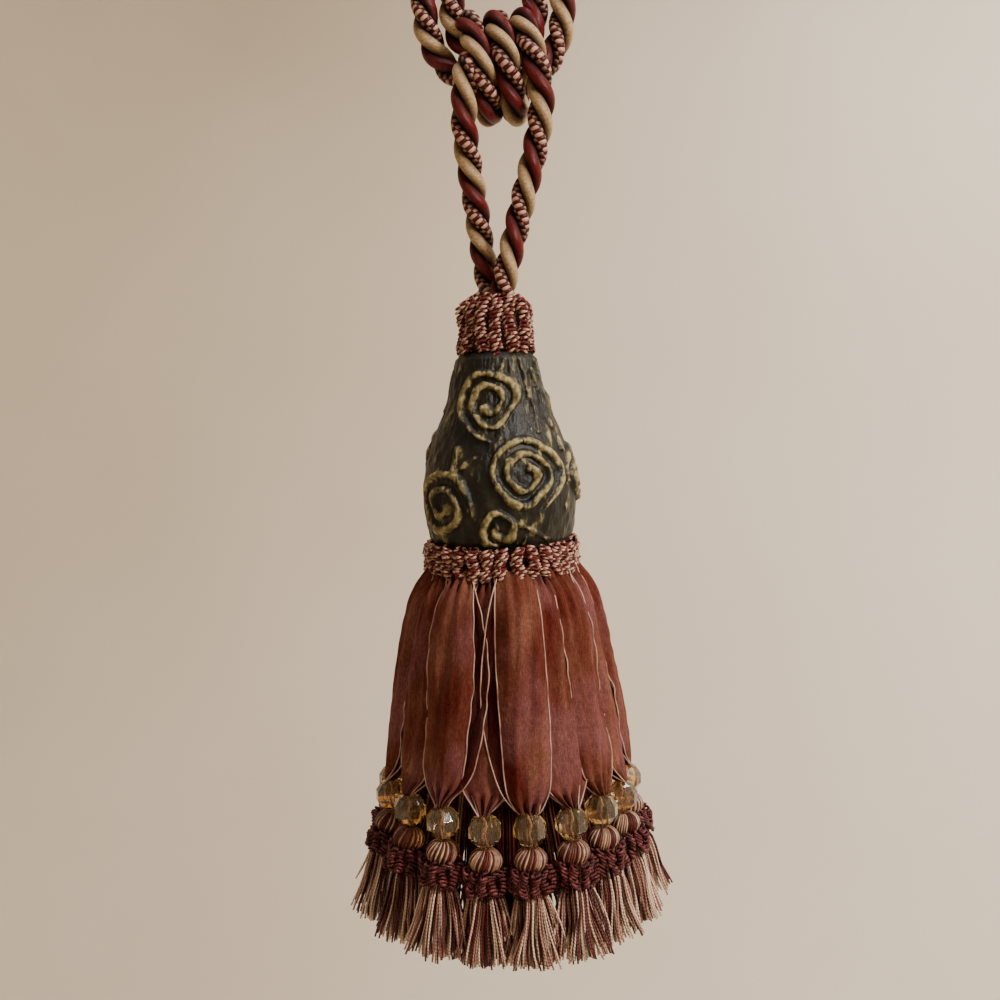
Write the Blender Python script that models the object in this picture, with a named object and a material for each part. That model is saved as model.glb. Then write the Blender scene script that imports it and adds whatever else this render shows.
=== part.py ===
"""Curtain tieback tassel: a doubled rope embrace, a knotted hanger rope, a carved
head between two gimp bands, and a skirt of seventeen ribbons, each ending in a glass
bead, a thread-covered ball, a ruff and a cut fringe.

Metres, +Z up.  The origin is under the top of the embrace, where a hook carries it.
The front of the tassel faces -Y.
"""
import math

import bmesh
import bpy
import numpy as np
from mathutils import Matrix, Vector

MM = 0.001
GAP = 0.3                  # clear distance between pieces that touch, mm

# rope: three strands laid together
STRAND = 4.85              # one strand's thickness
ROPE_APART = 10.9          # centre distance of two ropes lying side by side
PITCH = 29.3               # one full turn of the lay
LAY = -1                   # S lay: the strands lean like the bar of an S
LOBE_CREST, LOBE_FLANK = 1.077, 0.777   # reach of a lobe's crest and flanks, in strands
EMBRACE_ACROSS, HANGER_ACROSS = (0.0, 1.0, 0.0), (1.0, 0.0, 0.0)
ROPE_STEP = 5.3            # distance of two sections along a rope

# heights, mm below the hook
ARM_CUT = -47.6            # embrace ropes end here at the knot
LEG_CUT = -95.0            # hanger legs start here under the knot
COLLAR_TOP, COLLAR_BOTTOM = -160.6, -182.5
COLLAR_DISH = -162.6       # flat in the collar's top, where the legs enter
BAND_TOP, BAND_BOTTOM = -259.2, -272.0
BEAD_Z = -363.0            # height of the glass beads' centres

# turned parts
COLLAR_R = 15.4
BAND_R, BAND_BORE = 31.6, 27.9
HEAD_NECK_R, HEAD_FOOT_R = 15.6, 27.6

# skirt
DROP_COUNT = 17
BEAD_R = 6.3
BALL_R, BALL_HALF = 6.1, 4.85
RUFF_R, RUFF_HALF = 8.0, 4.6
RUFF_OVER_BALL = 2.6       # how far the ruff stands up round the foot of its ball
FRINGE = 27.2              # cut length below the ruff
SPREAD_OUT = 11.0          # how far the lock ends stand out, away from the axis
SPREAD_SIDE = 8.4          # and to each side, toward the next tassel
LOCKS = 9                  # fringe locks on one small tassel
RIBBON = 20.0              # ribbon width where it lies open
RIBBON_THICK = 1.0
BOW = 1.8                  # how far a ribbon's middle stands out of its edges
CORD_R = 0.9               # hanging cord inside the skirt
CORD_FALL = [(0.04, 21.0), (0.50, 30.5), (0.88, 39.5), (1.0, None)]
THREAD_LOCKS = 2           # locks of loose dark threads between two drops
THREAD_END = -400.0
THREAD_FALL = [  # down the lock: share of its fall, distance from the axis, half its width
    dict(down=0.62, out=30.0, half=1.5),
    dict(down=1.0, out=38.0, half=1.95),
]
THREAD_DEEP = 0.8          # half the thickness of a thread lock
DISC_R, DISC_THICK = 24.0, 1.6
LOCK_R = 1.25              # half the thickness of a fringe lock

# the embrace's inner rope: x, y, z along its ring, from the knot's core round to it again
INNER_RING = [
    (4.0, 0, -66.0), (-4.0, 0, -65.5), (-10.0, 0, -61.0), (-13.1, 0, -53.0), (-13.6, 0, -45.0),
    (-15.0, 0, -28.0), (-15.4, 0, -12.0), (-10.8, 0, 0.6), (0.0, 0, 5.4), (11.4, 0, 0.6),
    (17.2, 0, -12.0), (18.6, 0, -28.0), (19.1, 0, -45.0), (18.6, 0, -55.0), (14.8, 0, -63.0),
    (8.0, 0, -66.0), (4.0, 0, -66.0),
]

# the hanger rope: up the left leg, three turns round the core, down the right leg
HANGER = [
    (-2.0, 4.7, -162.2), (-2.1, 4.7, -157.5), (-3.2, 4.2, -149.0), (-5.0, 2.4, -136.0), (-6.6, -0.6, -122.5),
    (-8.6, -6.0, -108.0), (-9.8, -10.2, -95.0), (-9.4, -12.6, -84.0), (-8.2, -11.0, -73.5),
    (-6.0, -2.0, -70.5), (-5.5, 8.0, -69.0), (-6.5, 11.0, -61.5), (-7.2, 3.0, -54.8),
    (-6.8, -6.5, -57.0), (-3.3, -13.0, -71.5), (-0.6, -7.0, -86.0), (0.4, 2.0, -88.2),
    (1.4, 10.6, -80.0), (2.4, 11.0, -64.0), (3.4, 3.0, -54.4), (4.2, -6.5, -57.0),
    (7.2, -12.4, -71.5), (9.8, -7.0, -86.0), (10.6, 2.0, -88.2), (11.6, 10.6, -80.0),
    (12.6, 11.0, -64.0), (13.6, 3.0, -54.4), (14.4, -6.5, -57.0), (18.2, -12.0, -71.5),
    (20.4, -10.4, -85.0), (19.6, -8.8, -95.0), (16.4, -7.2, -109.0), (12.0, -5.8, -125.0),
    (8.0, -5.2, -140.0), (4.6, -4.8, -153.0), (3.6, -4.7, -157.5), (3.5, -4.7, -162.2),
]

# the head's side: radius at a height, from the neck to the widest part and in to the band
HEAD_SIDE = [
    (15.9, -183.0), (17.8, -192.0), (20.7, -203.5), (24.3, -212.5), (28.3, -222.6),
    (30.4, -231.0), (31.3, -239.0), (31.1, -247.0), (29.8, -254.6), (28.6, -258.8),
]

# raised scrolls on the head: angle round the head, height, size, turns, start angle, hand
SCROLLS = [
    dict(round=-8, height=-202.6, size=14.4, turns=2.2, start=200, hand=1),
    dict(round=20, height=-231.0, size=16.4, turns=2.4, start=80, hand=-1),
    dict(round=-46, height=-242.5, size=14.2, turns=2.1, start=20, hand=-1),
    dict(round=0, height=-251.5, size=9.4, turns=1.6, start=130, hand=1),
    dict(round=86, height=-233.0, size=12.6, turns=2.1, start=150, hand=1),
    dict(round=128, height=-205.0, size=10.0, turns=1.7, start=300, hand=-1),
    dict(round=160, height=-240.0, size=14.6, turns=2.3, start=40, hand=1),
    dict(round=-118, height=-222.0, size=13.6, turns=2.2, start=240, hand=-1),
]
SCROLL_HIGH, SCROLL_WIDE = 1.8, 3.0

# the seventeen drops: angle round the skirt, distance of the bead from the axis, height
# added to it, how far the ribbon lies behind its neighbours, its share of the full width
# in the middle and at the band, its belly, and how far the small tassel leans outward
DROPS = [
    dict(round=-76, out=49.5, up=0.6, behind=0.0, wide=0.92, top=0.60, belly=0.4, lean=9),
    dict(round=-53, out=49.0, up=0.8, behind=2.4, wide=0.86, top=0.44, belly=0.6, lean=8),
    dict(round=-31, out=49.5, up=0.5, behind=0.0, wide=1.00, top=0.58, belly=1.2, lean=6),
    dict(round=-11, out=48.5, up=-1.2, behind=3.4, wide=0.90, top=0.40, belly=-0.6, lean=4),
    dict(round=9, out=49.5, up=-0.8, behind=0.0, wide=0.94, top=0.78, belly=1.2, lean=6),
    dict(round=29, out=49.5, up=-0.8, behind=2.4, wide=0.90, top=0.46, belly=0.4, lean=9),
    dict(round=48, out=49.0, up=0.0, behind=0.0, wide=0.92, top=0.62, belly=1.0, lean=7),
    dict(round=69, out=49.5, up=-0.5, behind=2.0, wide=0.86, top=0.44, belly=0.4, lean=10),
    dict(round=90, out=50.0, up=0.4, behind=0.0, wide=0.96, top=0.60, belly=1.0, lean=9),
    dict(round=111, out=49.5, up=-0.6, behind=2.6, wide=0.88, top=0.44, belly=0.2, lean=7),
    dict(round=132, out=49.0, up=0.5, behind=0.0, wide=0.98, top=0.64, belly=1.2, lean=8),
    dict(round=153, out=49.5, up=-0.9, behind=2.8, wide=0.88, top=0.44, belly=0.0, lean=6),
    dict(round=174, out=49.0, up=0.0, behind=0.0, wide=0.96, top=0.62, belly=1.2, lean=8),
    dict(round=-165, out=49.5, up=0.7, behind=2.6, wide=0.88, top=0.44, belly=0.4, lean=7),
    dict(round=-143, out=49.0, up=-0.3, behind=0.0, wide=0.98, top=0.62, belly=1.0, lean=9),
    dict(round=-121, out=49.5, up=0.6, behind=2.6, wide=0.88, top=0.44, belly=0.2, lean=8),
    dict(round=-99, out=49.5, up=0.0, behind=1.6, wide=0.86, top=0.46, belly=0.6, lean=8),
]

# ribbon from the band (0) to its bead (1): distance from the axis, share of its full width
# (a ribbon's own share counts at the top), and how far its belly and set-back show
RIBBON_FALL = [
    dict(down=0.00, out=30.4, wide=0.00, show=0.62), dict(down=0.07, out=34.8, wide=0.20, show=0.72),
    dict(down=0.17, out=38.0, wide=0.55, show=0.88), dict(down=0.38, out=41.4, wide=0.92, show=1.00),
    dict(down=0.62, out=45.0, wide=1.00, show=1.00), dict(down=0.80, out=47.2, wide=0.92, show=0.84),
    dict(down=0.93, out=48.6, wide=0.56, show=0.46), dict(down=1.00, out=49.0, wide=0.26, show=0.00),
]
BRIM_SHARE = 0.3           # down to here the ribbon widens from its share at the band

COLOURS = {
    "rope": ((0.42, 0.20, 0.14), 0.55, 0.0),
    "gimp": ((0.45, 0.22, 0.18), 0.7, 0.0),
    "head": ((0.06, 0.07, 0.05), 0.45, 0.2),
    "ribbon": ((0.30, 0.10, 0.07), 0.4, 0.0),
    "cord": ((0.45, 0.30, 0.22), 0.7, 0.0),
    "glass": ((0.45, 0.30, 0.20), 0.1, 0.0),
    "yarn": ((0.42, 0.20, 0.16), 0.7, 0.0),
}


def clear_scene():
    """Remove whatever the new file holds."""
    for old in list(bpy.data.objects):
        bpy.data.objects.remove(old, do_unlink=True)


def material(slot):
    """One Principled material per slot, made the first time it is asked for."""
    found = bpy.data.materials.get(slot)
    if found:
        return found
    colour, rough, metal = COLOURS[slot]
    made = bpy.data.materials.new(slot)
    made.use_nodes = True
    shader = made.node_tree.nodes["Principled BSDF"]
    shader.inputs["Base Color"].default_value = (*colour, 1.0)
    shader.inputs["Roughness"].default_value = rough
    shader.inputs["Metallic"].default_value = metal
    return made


def add_object(name, bm, slot, parent, helper=False):
    """Turn a bmesh in millimetres into a named object in metres under its parent."""
    bmesh.ops.recalc_face_normals(bm, faces=bm.faces)
    bmesh.ops.scale(bm, vec=(MM, MM, MM), verts=bm.verts)
    mesh = bpy.data.meshes.new(name)
    bm.to_mesh(mesh)
    bm.free()
    mesh.materials.append(material(slot))
    mesh.shade_smooth()
    mesh.set_sharp_from_angle(angle=math.radians(50))
    made = bpy.data.objects.new(name, mesh)
    bpy.context.scene.collection.objects.link(made)
    made.parent = parent
    if helper:
        made.hide_render = True
        made.display_type = "WIRE"
    return made


def fuse(body, others):
    """Boolean unions that make one body out of the body and its helpers."""
    for other in others:
        joint = body.modifiers.new("fuse " + other.name, "BOOLEAN")
        joint.operation = "UNION"
        joint.solver = "EXACT"
        joint.use_self = True
        joint.object = other


def polar(radius, degrees, z):
    """A point at an angle round the axis: 0 degrees is the front (-Y), 90 is +X."""
    turn = math.radians(degrees)
    return (radius * math.sin(turn), -radius * math.cos(turn), z)


def smooth_route(points, step):
    """Even points along the Catmull-Rom curve through hand-set points."""
    knots = np.array(points, float)
    ends = np.vstack([2 * knots[0] - knots[1], knots, 2 * knots[-1] - knots[-2]])
    dense = []
    for i in range(1, len(ends) - 2):
        a, b, c, d = ends[i - 1:i + 3]
        t = np.linspace(0, 1, 24, endpoint=False)[:, None]
        dense.append(0.5 * (2 * b + (c - a) * t + (2 * a - 5 * b + 4 * c - d) * t ** 2
                            + (3 * b - 3 * c + d - a) * t ** 3))
    dense = np.vstack(dense + [knots[-1:]])
    run = np.concatenate([[0], np.cumsum(np.linalg.norm(np.diff(dense, axis=0), axis=1))])
    even = np.linspace(0, run[-1], max(2, round(run[-1] / step) + 1))
    return np.stack([np.interp(even, run, dense[:, k]) for k in range(3)], axis=1)


def beside(points, apart):
    """The same ring moved outward in its own plane by the distance of two ropes."""
    fine = smooth_route(points, 1.0)
    along = np.gradient(fine, axis=0)
    along /= np.linalg.norm(along, axis=1)[:, None]
    outward = np.stack([-along[:, 2], 0 * along[:, 0], along[:, 0]], axis=1)
    return fine + apart * outward


def laid_rope(points, across, start=0.0, end=None):
    """Three-lobed sections between two distances along a route, in an S lay.

    One direction across the rope is the given one made square to the route, the other
    is square to both, and the lobes turn once in every pitch, so two lengths of one
    route meet strand to strand.
    """
    fine = smooth_route(points, 1.0)
    step = np.linalg.norm(np.diff(fine, axis=0), axis=1).mean()
    along = np.gradient(fine, axis=0)
    along /= np.linalg.norm(along, axis=1)[:, None]
    side = np.array(across) - along * (along @ np.array(across))[:, None]
    side /= np.linalg.norm(side, axis=1)[:, None]
    up = np.cross(along, side)
    end = step * (len(fine) - 1) if end is None else end
    places = np.linspace(start, end, max(2, round((end - start) / ROPE_STEP) + 1))
    frame = [np.stack([np.interp(places, step * np.arange(len(fine)), part[:, k]) for k in range(3)], axis=1)
             for part in (fine, side, up)]
    lobes = [(120 * lobe + spread, reach) for lobe in range(3)
             for spread, reach in ((-40, LOBE_FLANK), (0, LOBE_CREST), (40, LOBE_FLANK))]
    turns = LAY * 2 * math.pi * places[:, None] / PITCH + np.radians([turn for turn, _ in lobes])[None]
    reach = STRAND * np.array([reach for _, reach in lobes])[None, :, None]
    return (frame[0][:, None] + reach * (np.cos(turns)[..., None] * frame[1][:, None]
                                         + np.sin(turns)[..., None] * frame[2][:, None])).tolist()


def crossings(points, z):
    """Distances along a route at which it passes a height, first to last."""
    fine = smooth_route(points, 1.0)
    step = np.linalg.norm(np.diff(fine, axis=0), axis=1).mean()
    passed = np.nonzero(np.diff(np.sign(fine[:, 2] - z)))[0]
    return [step * (i + (z - fine[i, 2]) / (fine[i + 1, 2] - fine[i, 2])) for i in passed]


def tube(sections):
    """Bridge a list of equal rings into one tube with closed ends."""
    bm = bmesh.new()
    rings = [[bm.verts.new(p) for p in ring] for ring in sections]
    count = len(rings[0])
    for near, far in zip(rings, rings[1:]):
        for k in range(count):
            bm.faces.new((near[k], near[(k + 1) % count], far[(k + 1) % count], far[k]))
    bm.faces.new(rings[0])
    bm.faces.new(rings[-1])
    return bm


def turned(outline, sides):
    """Spin an outline of (radius, z) round the axis; its ends are closed at the axis."""
    bm = bmesh.new()
    corners = [bm.verts.new((r, 0, z)) for r, z in outline]
    edges = [bm.edges.new(pair) for pair in zip(corners, corners[1:])]
    bmesh.ops.spin(bm, geom=corners + edges, cent=(0, 0, 0), axis=(0, 0, 1),
                   angle=2 * math.pi, steps=sides, use_merge=True)
    bmesh.ops.remove_doubles(bm, verts=bm.verts, dist=0.001)
    return bm


def puff(bm, columns, rows, top, bottom, bore, depth):
    """Push the points outside the bore out into the rows of loops of a gimp braid."""
    for v in bm.verts:
        radius = math.hypot(v.co.x, v.co.y)
        down = (top - v.co.z) / (top - bottom)
        if radius < bore or not 0.0 < down < 1.0:
            continue
        turn = math.atan2(v.co.y, v.co.x) * columns + math.pi * (int(down * rows) % 2)
        swell = depth * (0.5 + 0.5 * math.cos(turn)) * abs(math.sin(math.pi * rows * down))
        v.co.x *= (radius + swell) / radius
        v.co.y *= (radius + swell) / radius


def rope_parts(parent):
    """Embrace ropes, hanger legs and the knot that joins them."""
    ends = GAP / 2
    turns = []
    for name, route in (("embrace_rope_inner", INNER_RING),
                        ("embrace_rope_outer", beside(INNER_RING, ROPE_APART))):
        left, right = crossings(route, ARM_CUT)
        add_object(name, tube(laid_rope(route, EMBRACE_ACROSS, left + ends, right - ends)), "rope", parent)
        turns.append(laid_rope(route, EMBRACE_ACROSS, 0.0, left - ends))
        turns.append(laid_rope(route, EMBRACE_ACROSS, right + ends))
    below = crossings(HANGER, LEG_CUT)
    add_object("rope_leg_left", tube(laid_rope(HANGER, HANGER_ACROSS, 0.0, below[0] - ends)), "rope", parent)
    add_object("rope_leg_right", tube(laid_rope(HANGER, HANGER_ACROSS, below[-1] + ends)), "rope", parent)
    turned_rope = laid_rope(HANGER, HANGER_ACROSS, below[0] + ends, below[-1] - ends)
    knot = add_object("knot", tube(turned_rope), "rope", parent)
    helpers = [add_object("knot_core_%d" % i, tube(t), "rope", parent, helper=True)
               for i, t in enumerate(turns)]
    fuse(knot, helpers)


def collar_part(parent):
    """Small gimp band round the neck: two rows of loops, dished where the rope enters."""
    rows = 9
    side = [(COLLAR_R, COLLAR_BOTTOM + (COLLAR_TOP - COLLAR_BOTTOM) * k / rows) for k in range(rows)]
    shoulder = [(COLLAR_R - 0.6, COLLAR_TOP - 1.8), (COLLAR_R - 2.6, COLLAR_TOP),
                (COLLAR_R - 4.2, COLLAR_DISH)]
    outline = [(0, COLLAR_BOTTOM)] + side[:-1] + shoulder + [(0, COLLAR_DISH)]
    bm = turned(outline[::-1], 30)
    puff(bm, 10, 2, COLLAR_TOP - 1.0, COLLAR_BOTTOM, COLLAR_R - 1.0, 1.3)
    add_object("collar", bm, "gimp", parent)


def head_radius(z):
    """The head's radius at a height, along the curve through its side."""
    side = sorted(HEAD_SIDE, key=lambda row: row[1])
    return float(np.interp(z, [row[1] for row in side], [row[0] for row in side]))


def scroll_part(name, row, parent):
    """One raised scroll: a four-sided bead along a spiral laid on the head's side."""
    steps = round(11 * row["turns"])
    sections = []
    for k in range(steps + 1):
        share = k / steps
        turn = math.radians(row["start"]) + row["hand"] * 2 * math.pi * row["turns"] * share
        reach = row["size"] * (0.17 + 0.83 * share)
        up = row["height"] + reach * math.sin(turn)
        up = max(up, BAND_TOP + 0.5 * SCROLL_WIDE + 1.2)
        radius = head_radius(up)
        wide = reach * math.cos(turn) / radius
        slope = math.atan2(head_radius(up + 1) - head_radius(up - 1), 2.0)
        heading = turn + row["hand"] * math.pi / 2
        half = 0.5 * SCROLL_WIDE * (0.5 if k in (0, steps) else 1.0)
        ring = []
        for side, high in ((-1, -0.9), (-0.55, 1.0), (0.55, 1.0), (1, -0.9)):
            z = up + side * half * math.cos(heading)
            angle = math.radians(row["round"]) + wide - side * half * math.sin(heading) / radius
            raise_by = SCROLL_HIGH if high > 0 else high
            ring.append(polar(head_radius(z) + raise_by * math.cos(slope), math.degrees(angle),
                              z - raise_by * math.sin(slope)))
        sections.append(ring)
    return add_object(name, tube(sections), "head", parent, helper=True)


def head_part(parent):
    """The moulded head: a turned pear with raised scrolls, its foot inside the band."""
    side = smooth_route([(r, 0.0, z) for r, z in HEAD_SIDE], 8.0)
    outline = [(0, COLLAR_BOTTOM - GAP), (HEAD_NECK_R, COLLAR_BOTTOM - GAP)]
    outline += [(r, z) for r, _, z in side[1:]]
    outline += [(HEAD_FOOT_R, BAND_TOP + GAP), (HEAD_FOOT_R, BAND_BOTTOM), (0, BAND_BOTTOM)]
    head = add_object("head", turned(outline, 32), "head", parent)
    fuse(head, [scroll_part("scroll_%d" % i, row, parent) for i, row in enumerate(SCROLLS, 1)])


def band_part(parent):
    """Large gimp band round the head's foot: three rows of loops on a plain bore."""
    rows = 6
    step = (BAND_TOP - BAND_BOTTOM) / rows
    outline = [(BAND_BORE, BAND_TOP)] + [(BAND_R, BAND_TOP - step * (k + 0.01)) for k in range(rows)]
    outline += [(BAND_R, BAND_BOTTOM), (BAND_BORE, BAND_BOTTOM), (BAND_BORE, BAND_TOP)]
    bm = turned(outline, 51)
    puff(bm, 17, 3, BAND_TOP, BAND_BOTTOM, BAND_R - 1.0, 1.5)
    add_object("band", bm, "gimp", parent)


def ribbon_part(name, row, parent):
    """One organza ribbon: gathered at the band, open in the middle, drawn in at its bead."""
    top, bottom = BAND_BOTTOM - GAP, BEAD_Z + row["up"] + BEAD_R + GAP
    front, back = [], []
    for fall in RIBBON_FALL:
        down = fall["down"]
        out = fall["out"] + fall["show"] * (row["belly"] - row["behind"])
        out += down ** 3 * (row["out"] - RIBBON_FALL[-1]["out"])
        share = fall["wide"] * row["wide"]
        if down < BRIM_SHARE:
            share = row["top"] + (row["wide"] - row["top"]) * fall["wide"]
        half = 0.5 * RIBBON * share
        for ring, lift in ((front, 0.5), (back, -0.5)):
            ring.append([])
            for side in (-1.0, -0.4, 0.4, 1.0):
                bow = BOW * fall["show"] * (1 - side ** 2)
                reach = out + bow + lift * RIBBON_THICK
                turn = row["round"] + math.degrees(side * half / (out + lift * RIBBON_THICK))
                ring[-1].append(polar(reach, turn, top + (bottom - top) * down))
    sections = [f + b[::-1] for f, b in zip(front, back)]
    add_object(name, tube(sections), "ribbon", parent)


def bead_part(name, row, parent):
    """One round glass bead, with flats at its thread hole."""
    z = BEAD_Z + row["up"]
    outline = [(0, 1), (0.42, 0.94), (0.95, 0.32), (0.95, -0.32), (0.42, -0.94), (0, -1)]
    bm = turned([(BEAD_R * r, BEAD_R * h) for r, h in outline], 8)
    bmesh.ops.translate(bm, vec=Vector(polar(row["out"], row["round"], z)), verts=bm.verts)
    add_object(name, bm, "glass", parent)


def draw_out(bm, root, stations):
    """Draw a strand out of a root face, through stations of (place, size)."""
    bmesh.ops.inset_individual(bm, faces=[root], thickness=0.3)
    face = root
    for place, size in stations:
        face = bmesh.ops.extrude_discrete_faces(bm, faces=[face])["faces"][0]
        centre = face.calc_center_median()
        spread = sum((v.co - centre).length for v in face.verts) / len(face.verts)
        for v in face.verts:
            v.co = Vector(place) + (v.co - centre) * size / spread


def faces_at(bm, z):
    """The faces that lie flat at a height, in order round the axis."""
    flat = [f for f in bm.faces if all(abs(v.co.z - z) < 0.01 for v in f.verts)]
    return sorted(flat, key=lambda f: math.atan2(*f.calc_center_median().xy))


def small_tassel_part(name, row, parent):
    """Ball, ruff and cut fringe of one drop; the locks are drawn out of the ruff's foot."""
    ball_top = BEAD_Z + row["up"] - BEAD_R - GAP
    waist = ball_top - 2 * BALL_HALF + RUFF_OVER_BALL
    foot = waist - 2 * RUFF_HALF
    outline = [(0, ball_top), (0.6 * BALL_R, ball_top - 0.9), (BALL_R, ball_top - BALL_HALF),
               (0.66 * BALL_R, waist + 0.4), (RUFF_R, waist - 1.4), (0.84 * RUFF_R, waist - RUFF_HALF),
               (RUFF_R, foot + 1.6), (0.6 * RUFF_R, foot), (0, foot)]
    bm = turned(outline, LOCKS)
    for k, root in enumerate(faces_at(bm, foot)):
        outward = root.calc_center_median().xy.normalized()
        reach = 1.0 if k % 2 else 0.72
        length = FRINGE * (1.0 - 0.05 * (k % 3))
        stations = [((SPREAD_SIDE * outward.x * reach * spread, SPREAD_OUT * outward.y * reach * spread,
                      foot - length * share), size)
                    for share, spread, size in ((0.45, 0.62, LOCK_R), (1.0, 1.0, 1.35 * LOCK_R))]
        draw_out(bm, root, stations)
    lean = Matrix.Rotation(math.radians(-row["lean"]), 3, "X")
    bmesh.ops.rotate(bm, cent=(0, 0, ball_top), matrix=lean, verts=bm.verts)
    turn = Matrix.Rotation(math.radians(row["round"]), 3, "Z")
    bmesh.ops.rotate(bm, cent=(0, 0, 0), matrix=turn, verts=bm.verts)
    bmesh.ops.translate(bm, vec=Vector(polar(row["out"], row["round"], 0)), verts=bm.verts)
    add_object(name, bm, "yarn", parent)


def draw_lock(bm, root, angle, stations):
    """Draw a flat lock out of a wedge of the disc: its broad side faces away from the axis."""
    radial, tangent = Vector(polar(1.0, angle, 0)), Vector(polar(1.0, angle + 90, 0))
    bmesh.ops.inset_individual(bm, faces=[root], thickness=0.3)
    face = root
    for out, z, half in stations:
        face = bmesh.ops.extrude_discrete_faces(bm, faces=[face])["faces"][0]
        centre = face.calc_center_median()
        for v in face.verts:
            aside, deep = (v.co - centre).dot(tangent), (v.co - centre).dot(radial)
            side = math.copysign(half, aside) if deep > 0 else 0.0
            v.co = radial * (out + math.copysign(THREAD_DEEP, deep)) + tangent * side + Vector((0, 0, z))


def hanging_cords_part(parent):
    """The cords inside the skirt, one to each bead, and between them two locks of loose
    threads, all fused at a disc under the head.  Each strand has its own wedge of the disc."""
    top, under = BAND_BOTTOM - GAP, BAND_BOTTOM - GAP - DISC_THICK
    rows = sorted(DROPS, key=lambda row: row["round"])
    strands = []
    for row, following in zip(rows, rows[1:] + [dict(round=rows[0]["round"] + 360)]):
        step = (following["round"] - row["round"]) / (1 + THREAD_LOCKS)
        strands += [(row["round"] + step * k, row if k == 0 else None) for k in range(1 + THREAD_LOCKS)]
    bm = turned([(0, top), (DISC_R, top), (DISC_R, under), (0, under)], len(strands))
    angles = [angle for angle, _ in strands]
    edges = [(a + b) / 2 for a, b in zip(angles, angles[1:] + [angles[0] + 360])]
    edges.sort(key=lambda angle: math.atan2(*Vector(polar(1.0, angle, 0)).yx))
    for z in (top, under):
        rim = [v for v in bm.verts if abs(v.co.z - z) < 0.01 and v.co.xy.length > 1.0]
        for v, angle in zip(sorted(rim, key=lambda v: math.atan2(v.co.y, v.co.x)), edges):
            v.co = Vector(polar(DISC_R, angle, z))
    roots = faces_at(bm, under)
    for angle, row in strands:
        aim = Vector(polar(1.0, angle, 0)).xy
        root = max(roots, key=lambda f: f.calc_center_median().xy.normalized().dot(aim))
        roots.remove(root)
        if row is None:
            draw_lock(bm, root, angle, [(fall["out"], under + (THREAD_END - under) * fall["down"], fall["half"])
                                        for fall in THREAD_FALL])
            continue
        end = BEAD_Z + row["up"] + BEAD_R - 0.1
        stations = []
        for down, out in CORD_FALL:
            out = out if down < 1.0 else row["out"] - 3.6
            stations.append((polar(out, row["round"], under + (end - under) * down), CORD_R))
        draw_out(bm, root, stations)
    add_object("hanging_cords", bm, "cord", parent)


clear_scene()
tassel = bpy.data.objects.new("tassel", None)
bpy.context.scene.collection.objects.link(tassel)
rope_parts(tassel)
collar_part(tassel)
head_part(tassel)
band_part(tassel)
hanging_cords_part(tassel)
for number, drop in enumerate(DROPS, 1):
    ribbon_part("ribbon_%02d" % number, drop, tassel)
    bead_part("glass_bead_%02d" % number, drop, tassel)
    small_tassel_part("small_tassel_%02d" % number, drop, tassel)
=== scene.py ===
import math

import bpy
import numpy as np
from mathutils import Matrix, Vector


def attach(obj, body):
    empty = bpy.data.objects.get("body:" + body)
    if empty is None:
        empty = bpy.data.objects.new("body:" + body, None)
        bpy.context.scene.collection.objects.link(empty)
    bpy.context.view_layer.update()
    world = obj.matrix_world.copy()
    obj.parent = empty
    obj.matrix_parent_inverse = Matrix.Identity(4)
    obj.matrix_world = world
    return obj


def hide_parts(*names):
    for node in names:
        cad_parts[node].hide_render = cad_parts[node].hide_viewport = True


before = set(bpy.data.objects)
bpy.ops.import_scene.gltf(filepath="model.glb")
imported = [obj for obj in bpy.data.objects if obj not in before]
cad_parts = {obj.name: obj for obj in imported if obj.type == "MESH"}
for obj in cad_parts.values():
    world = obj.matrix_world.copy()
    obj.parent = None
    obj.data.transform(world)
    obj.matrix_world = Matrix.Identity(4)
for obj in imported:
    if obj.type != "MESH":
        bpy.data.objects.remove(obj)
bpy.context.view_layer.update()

# ------------------------------------------------------------
# The view and the room: a hand-held camera in front of the hanging tassel, a little
# above its middle, and a round pale floor that sweeps up into a wall far behind it.
# ------------------------------------------------------------
EYE = (0.0, -0.440, -0.198)
LOOK_DOWN, ROLL = 5.85, -1.6
LENS = 38.6
MM = 0.001
FULL = 2 * math.pi

lens = bpy.data.cameras.new("camera")
lens.sensor_width = 36.0
lens.lens = LENS
lens.clip_start = 0.01
camera = bpy.data.objects.new("camera", lens)
bpy.context.collection.objects.link(camera)
camera.matrix_world = (Matrix.Translation(EYE)
                       @ Matrix.Rotation(math.radians(90 - LOOK_DOWN), 4, "X")
                       @ Matrix.Rotation(math.radians(ROLL), 4, "Z"))
bpy.context.scene.camera = camera


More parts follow.
